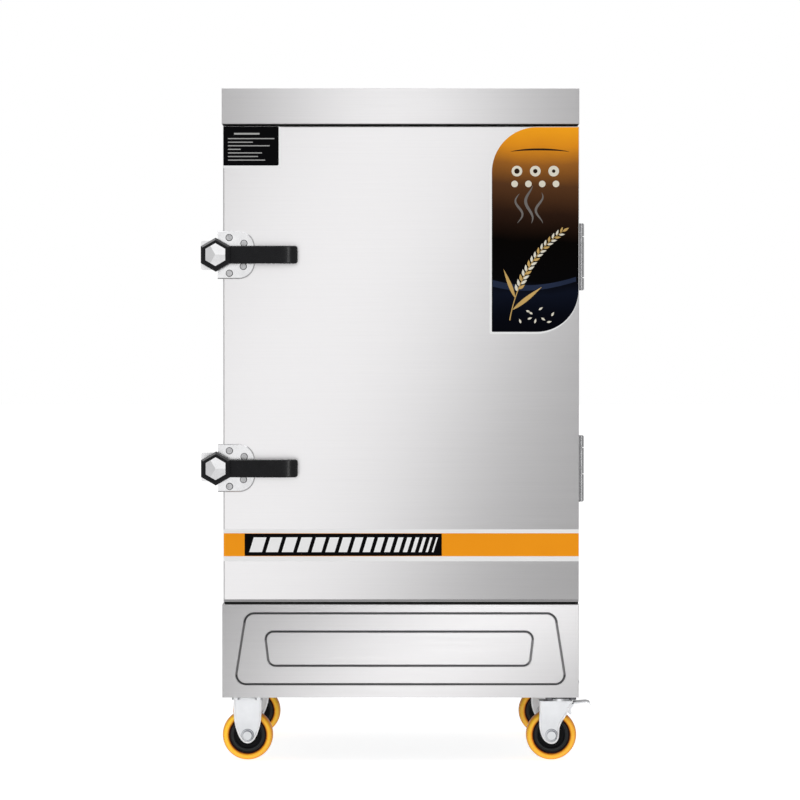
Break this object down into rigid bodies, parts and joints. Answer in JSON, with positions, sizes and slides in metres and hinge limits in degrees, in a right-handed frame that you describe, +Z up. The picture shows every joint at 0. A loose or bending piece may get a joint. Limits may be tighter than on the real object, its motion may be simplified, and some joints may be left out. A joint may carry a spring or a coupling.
{
  "type": "electric rice steamer",
  "caption": "Upright stainless steam cabinet on casters, with a hinged door, hand latches, a rack of trays over a heated water tank, and a rear feed tank and control box.",
  "frame": {"origin": "on the floor, under the middle of the whole object's box", "axes": "+X to the right seen from the front, +Y to the back, +Z up"},
  "size_m": [0.771, 0.753, 1.326],
  "materials": {
    "casing_steel": "vertical and horizontal brushed stainless sheet",
    "door_steel": "fine brushed stainless sheet",
    "liner_steel": "plain stainless sheet",
    "tray_steel": "satin stainless",
    "heater_steel": "heat-tinted stainless tube",
    "frame_steel": "grey painted steel tube",
    "insulation": "mineral wool, plain",
    "polished_steel": "bright polished",
    "zinc_plate": "bright zinc plating",
    "black_plastic": "black, semi-gloss",
    "hub_black": "black, semi-gloss",
    "orange_tyre": "glossy orange polyurethane",
    "black_rubber": "matt black",
    "brass": "cast and turned",
    "red_grip": "red dipped grip",
    "grey_nylon": "grey nylon"
  },
  "bodies": {
    "cabinet": {"base_frame": "frame_steel", "base_front_panel": "casing_steel", "left_side_panel": "casing_steel", "right_side_panel": "casing_steel", "rear_panel": "casing_steel", "top_panel": "casing_steel", "inner_liner": "liner_steel", "body_insulation": "insulation", "tray_racks": "liner_steel", "water_tank": "liner_steel", "baffle_plate": "liner_steel", "heating_elements": "heater_steel", "feed_tank": "liner_steel", "float_valve": "brass", "water_pipes": "liner_steel", "drain_valve": "brass", "vent_pipe": "liner_steel", "control_box": "liner_steel", "control_cover": "liner_steel", "control_electrics": "black_plastic", "cable_gland": "grey_nylon", "strike_plates": "polished_steel", "hinge_frame_leaves": "polished_steel", "hinge_pins": "polished_steel", "rigid_forks": "zinc_plate", "swivel_plates": "zinc_plate"},
    "door": {"door_outer_skin": "door_steel", "door_inner_skin": "liner_steel", "door_insulation": "insulation", "door_gasket": "black_rubber", "latch_plates": "polished_steel", "latch_screws": "polished_steel", "hinge_door_leaves": "polished_steel"},
    "upper_latch": {"upper_latch_lever": "black_plastic", "upper_latch_shaft": "polished_steel"},
    "lower_latch": {"lower_latch_lever": "black_plastic", "lower_latch_shaft": "polished_steel"},
    "float": {"float_arm": "brass"},
    "drain_handle": {"drain_lever": "red_grip"},
    "feed_lid": {"feed_tank_lid": "liner_steel"},
    "switch": {"power_switch": "black_plastic"},
    "knob": {"timer_knob": "black_plastic"},
    "tray_1": {"tray_1": "tray_steel"},
    "tray_2": {"tray_2": "tray_steel"},
    "tray_3": {"tray_3": "tray_steel"},
    "tray_4": {"tray_4": "tray_steel"},
    "tray_5": {"tray_5": "tray_steel"},
    "tray_6": {"tray_6": "tray_steel"},
    "swivel_front": {"swivel_fork_front": "zinc_plate"},
    "brake_front": {"brake_pedal_front": "zinc_plate"},
    "swivel_rear": {"swivel_fork_rear": "zinc_plate"},
    "brake_rear": {"brake_pedal_rear": "zinc_plate"},
    "wheel_front_left": {"tyre_front_left": "orange_tyre", "hub_front_left": "hub_black"},
    "wheel_front_right": {"tyre_front_right": "orange_tyre", "hub_front_right": "hub_black"},
    "wheel_rear_left": {"tyre_rear_left": "orange_tyre", "hub_rear_left": "hub_black"},
    "wheel_rear_right": {"tyre_rear_right": "orange_tyre", "hub_rear_right": "hub_black"}
  },
  "joints": [
    {"name": "door_swing", "type": "hinge", "parent": "cabinet", "child": "door", "pos_m": [0.364, -0.2875, 0], "axis": [0, 0, 1], "range_deg": [0, 170]},
    {"name": "upper_latch_turn", "type": "hinge", "parent": "door", "child": "upper_latch", "pos_m": [-0.353, -0.3375, 1], "axis": [0, 1, 0], "range_deg": [0, 90]},
    {"name": "lower_latch_turn", "type": "hinge", "parent": "door", "child": "lower_latch", "pos_m": [-0.353, -0.3375, 0.5823], "axis": [0, 1, 0], "range_deg": [0, 90]},
    {"name": "tray_1_slide", "type": "slide", "parent": "cabinet", "child": "tray_1", "axis": [0, -1, 0], "range_m": [0, 0.032]},
    {"name": "tray_2_slide", "type": "slide", "parent": "cabinet", "child": "tray_2", "axis": [0, -1, 0], "range_m": [0, 0.032]},
    {"name": "tray_3_slide", "type": "slide", "parent": "cabinet", "child": "tray_3", "axis": [0, -1, 0], "range_m": [0, 0.032]},
    {"name": "tray_4_slide", "type": "slide", "parent": "cabinet", "child": "tray_4", "axis": [0, -1, 0], "range_m": [0, 0.032]},
    {"name": "tray_5_slide", "type": "slide", "parent": "cabinet", "child": "tray_5", "axis": [0, -1, 0], "range_m": [0, 0.032]},
    {"name": "tray_6_slide", "type": "slide", "parent": "cabinet", "child": "tray_6", "axis": [0, -1, 0], "range_m": [0, 0.032]},
    {"name": "float_rise", "type": "hinge", "parent": "cabinet", "child": "float", "pos_m": [-0.261, 0.3075, 0.421], "axis": [0, -1, 0], "range_deg": [-15, 10]},
    {"name": "drain_lever_turn", "type": "hinge", "parent": "cabinet", "child": "drain_handle", "pos_m": [-0.192, 0.2945, 0.255], "axis": [0, 0, 1], "range_deg": [0, 90]},
    {"name": "feed_lid_lift", "type": "slide", "parent": "cabinet", "child": "feed_lid", "axis": [0, 0, 1], "range_m": [0, 0.06]},
    {"name": "switch_rock", "type": "hinge", "parent": "cabinet", "child": "switch", "pos_m": [0.038, 0.341, 0.47], "axis": [-1, 0, 0], "range_deg": [0, 14]},
    {"name": "knob_turn", "type": "hinge", "parent": "cabinet", "child": "knob", "pos_m": [0.188, 0.3425, 0.47], "axis": [0, -1, 0], "range_deg": [0, 300]},
    {"name": "swivel_front_turn", "type": "hinge", "parent": "cabinet", "child": "swivel_front", "pos_m": [0.325, -0.2575, 0.12], "axis": [0, 0, 1], "continuous": true},
    {"name": "brake_front_press", "type": "hinge", "parent": "swivel_front", "child": "brake_front", "pos_m": [0.339, -0.2575, 0.1035], "axis": [0, 1, 0], "range_deg": [0, 15]},
    {"name": "swivel_rear_turn", "type": "hinge", "parent": "cabinet", "child": "swivel_rear", "pos_m": [0.325, 0.1825, 0.12], "axis": [0, 0, 1], "continuous": true},
    {"name": "brake_rear_press", "type": "hinge", "parent": "swivel_rear", "child": "brake_rear", "pos_m": [0.339, 0.1825, 0.1035], "axis": [0, 1, 0], "range_deg": [0, 15]},
    {"name": "wheel_front_left_spin", "type": "hinge", "parent": "cabinet", "child": "wheel_front_left", "pos_m": [-0.295, -0.2575, 0.05], "axis": [0, 1, 0], "continuous": true},
    {"name": "wheel_front_right_spin", "type": "hinge", "parent": "swivel_front", "child": "wheel_front_right", "pos_m": [0.307, -0.2575, 0.05], "axis": [0, 1, 0], "continuous": true},
    {"name": "wheel_rear_left_spin", "type": "hinge", "parent": "cabinet", "child": "wheel_rear_left", "pos_m": [-0.295, 0.1825, 0.05], "axis": [0, 1, 0], "continuous": true},
    {"name": "wheel_rear_right_spin", "type": "hinge", "parent": "swivel_rear", "child": "wheel_rear_right", "pos_m": [0.307, 0.1825, 0.05], "axis": [0, 1, 0], "continuous": true}
  ]
}
